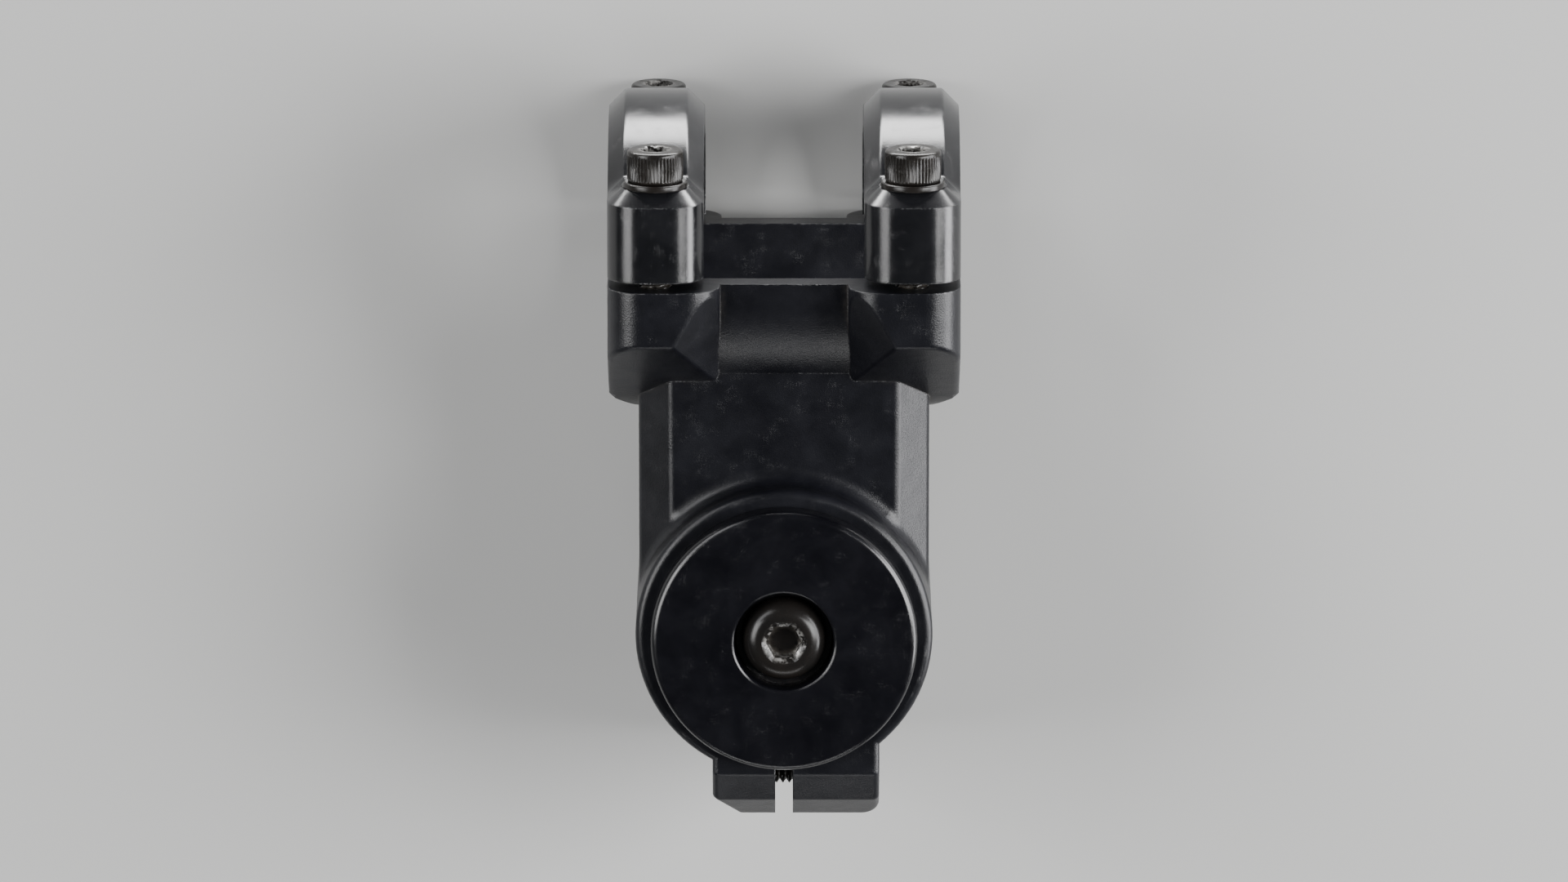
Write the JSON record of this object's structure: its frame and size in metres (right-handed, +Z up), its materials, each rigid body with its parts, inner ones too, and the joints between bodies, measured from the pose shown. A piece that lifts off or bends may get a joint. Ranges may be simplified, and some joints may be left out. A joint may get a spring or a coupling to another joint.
{
  "type": "handlebar stem",
  "caption": "Short black bicycle stem: split steerer clamp with pinch screws, two narrow handlebar straps on screws, and a round preload cap with its screw and star nut.",
  "frame": {"origin": "on the steerer axis at the underside of the steerer clamp", "axes": "+Z up the steerer; the handlebar is clamped ahead of it at -Y; +X is the rider's left"},
  "size_m": [0.044, 0.0904, 0.0495],
  "materials": {
    "body_anodised": "satin black anodised over fine blasting",
    "strap_anodised": "smooth black anodised, half gloss",
    "cap_anodised": "smooth black anodised, half gloss",
    "screw_steel": "black oxide",
    "washer_steel": "black oxide",
    "star_nut_steel": "zinc plated"
  },
  "bodies": {
    "stem": {"stem_body": "body_anodised", "star_nut_sleeve": "star_nut_steel", "star_nut_upper_spring": "star_nut_steel", "star_nut_lower_spring": "star_nut_steel"},
    "left_strap": {"left_bar_strap": "strap_anodised"},
    "right_strap": {"right_bar_strap": "strap_anodised"},
    "upper_left_strap_screw_washer": {"upper_left_strap_washer": "washer_steel"},
    "upper_left_strap_screw": {"upper_left_strap_screw": "screw_steel"},
    "lower_left_strap_screw_washer": {"lower_left_strap_washer": "washer_steel"},
    "lower_left_strap_screw": {"lower_left_strap_screw": "screw_steel"},
    "upper_right_strap_screw_washer": {"upper_right_strap_washer": "washer_steel"},
    "upper_right_strap_screw": {"upper_right_strap_screw": "screw_steel"},
    "lower_right_strap_screw_washer": {"lower_right_strap_washer": "washer_steel"},
    "lower_right_strap_screw": {"lower_right_strap_screw": "screw_steel"},
    "upper_pinch_screw_washer": {"upper_pinch_washer": "washer_steel"},
    "upper_pinch_screw": {"upper_pinch_screw": "screw_steel"},
    "lower_pinch_screw_washer": {"lower_pinch_washer": "washer_steel"},
    "lower_pinch_screw": {"lower_pinch_screw": "screw_steel"},
    "cap": {"top_cap": "cap_anodised"},
    "preload_screw": {"preload_screw": "screw_steel"}
  },
  "joints": [
    {"name": "left_strap_off", "type": "slide", "parent": "stem", "child": "left_strap", "axis": [0, -1, 0], "range_m": [0, 0.025]},
    {"name": "right_strap_off", "type": "slide", "parent": "stem", "child": "right_strap", "axis": [0, -1, 0], "range_m": [0, 0.025]},
    {"name": "upper_left_strap_screw_travel", "type": "slide", "parent": "left_strap", "child": "upper_left_strap_screw_washer", "axis": [0, -1, 0], "range_m": [0, 0.0063]},
    {"name": "upper_left_strap_screw_turn", "type": "hinge", "parent": "upper_left_strap_screw_washer", "child": "upper_left_strap_screw", "pos_m": [0.016, -0.0584, 0.0402], "axis": [0, -1, 0], "range_deg": [0, 3241]},
    {"name": "lower_left_strap_screw_travel", "type": "slide", "parent": "left_strap", "child": "lower_left_strap_screw_washer", "axis": [0, -1, 0], "range_m": [0, 0.0063]},
    {"name": "lower_left_strap_screw_turn", "type": "hinge", "parent": "lower_left_strap_screw_washer", "child": "lower_left_strap_screw", "pos_m": [0.016, -0.0584, -0.0002], "axis": [0, -1, 0], "range_deg": [0, 3241]},
    {"name": "upper_right_strap_screw_travel", "type": "slide", "parent": "right_strap", "child": "upper_right_strap_screw_washer", "axis": [0, -1, 0], "range_m": [0, 0.0063]},
    {"name": "upper_right_strap_screw_turn", "type": "hinge", "parent": "upper_right_strap_screw_washer", "child": "upper_right_strap_screw", "pos_m": [-0.016, -0.0584, 0.0402], "axis": [0, -1, 0], "range_deg": [0, 3241]},
    {"name": "lower_right_strap_screw_travel", "type": "slide", "parent": "right_strap", "child": "lower_right_strap_screw_washer", "axis": [0, -1, 0], "range_m": [0, 0.0063]},
    {"name": "lower_right_strap_screw_turn", "type": "hinge", "parent": "lower_right_strap_screw_washer", "child": "lower_right_strap_screw", "pos_m": [-0.016, -0.0584, -0.0002], "axis": [0, -1, 0], "range_deg": [0, 3241]},
    {"name": "upper_pinch_screw_travel", "type": "slide", "parent": "stem", "child": "upper_pinch_screw_washer", "axis": [-1, 0, 0], "range_m": [0, 0.0064]},
    {"name": "upper_pinch_screw_turn", "type": "hinge", "parent": "upper_pinch_screw_washer", "child": "upper_pinch_screw", "pos_m": [-0.0065, 0.0195, 0.029], "axis": [-1, 0, 0], "range_deg": [0, 2881]},
    {"name": "lower_pinch_screw_travel", "type": "slide", "parent": "stem", "child": "lower_pinch_screw_washer", "axis": [-1, 0, 0], "range_m": [0, 0.0064]},
    {"name": "lower_pinch_screw_turn", "type": "hinge", "parent": "lower_pinch_screw_washer", "child": "lower_pinch_screw", "pos_m": [-0.0065, 0.0195, 0.011], "axis": [-1, 0, 0], "range_deg": [0, 2881]},
    {"name": "cap_lift", "type": "slide", "parent": "stem", "child": "cap", "axis": [0, 0, 1], "range_m": [0, 0.01]},
    {"name": "preload_screw_turn", "type": "hinge", "parent": "cap", "child": "preload_screw", "pos_m": [0, 0, 0.04], "axis": [0, 0, 1], "range_deg": [0, 3601]}
  ],
  "couplings": [
    {"joint": "upper_left_strap_screw_turn", "follows": "upper_left_strap_screw_travel", "rad_per_m": 8976},
    {"joint": "lower_left_strap_screw_turn", "follows": "lower_left_strap_screw_travel", "rad_per_m": 8976},
    {"joint": "upper_right_strap_screw_turn", "follows": "upper_right_strap_screw_travel", "rad_per_m": 8976},
    {"joint": "lower_right_strap_screw_turn", "follows": "lower_right_strap_screw_travel", "rad_per_m": 8976},
    {"joint": "upper_pinch_screw_turn", "follows": "upper_pinch_screw_travel", "rad_per_m": 7854},
    {"joint": "lower_pinch_screw_turn", "follows": "lower_pinch_screw_travel", "rad_per_m": 7854},
    {"joint": "preload_screw_turn", "follows": "cap_lift", "rad_per_m": 6283.2}
  ]
}
